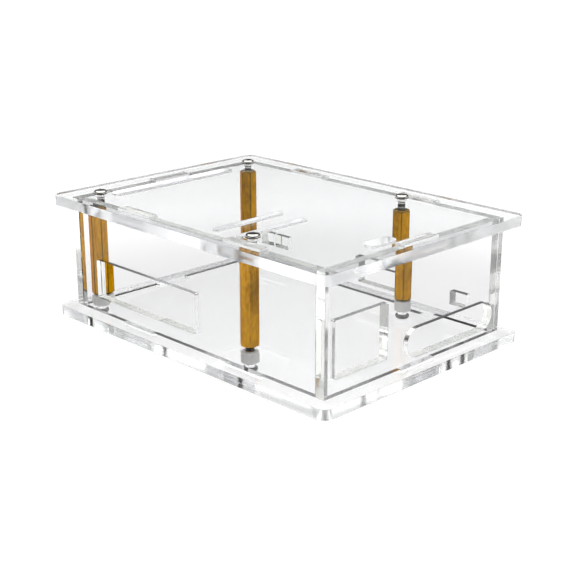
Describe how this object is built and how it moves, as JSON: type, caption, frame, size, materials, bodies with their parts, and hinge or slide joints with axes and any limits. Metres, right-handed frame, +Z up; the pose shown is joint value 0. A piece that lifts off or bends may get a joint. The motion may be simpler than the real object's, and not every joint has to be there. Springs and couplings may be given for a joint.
{
  "type": "single board computer case",
  "caption": "Clear acrylic box of tabbed laser-cut sheets for a circuit board, held by brass hex standoffs on nylon spacers, with port cut-outs in its walls and slots in its lid.",
  "frame": {"origin": "on the surface it stands on, under the middle of the plates", "axes": "+Z up; X along the long walls, from the left wall to the right wall with the square port; Y from the front wall to the back wall"},
  "size_m": [0.116, 0.083, 0.0415],
  "materials": {
    "clear_acrylic": "polished, clear, with laser-cut edges",
    "brass": "drawn hexagon bar, faint lengthwise lines",
    "nylon": "milky white, faintly translucent",
    "screw_steel": "bright nickel plate"
  },
  "bodies": {
    "root": {"bottom_plate": "clear_acrylic", "top_plate": "clear_acrylic", "front_wall": "clear_acrylic", "back_wall": "clear_acrylic", "left_wall": "clear_acrylic", "right_wall": "clear_acrylic", "standoff_front_left": "brass", "standoff_front_right": "brass", "standoff_back_right": "brass", "standoff_back_left": "brass", "spacer_front_left": "nylon", "spacer_front_right": "nylon", "spacer_back_right": "nylon", "spacer_back_left": "nylon", "top_screw_front_left": "screw_steel", "top_screw_front_right": "screw_steel", "top_screw_back_right": "screw_steel", "top_screw_back_left": "screw_steel", "bottom_screw_front_left": "screw_steel", "bottom_screw_front_right": "screw_steel", "bottom_screw_back_right": "screw_steel", "bottom_screw_back_left": "screw_steel"}
  },
  "joints": []
}
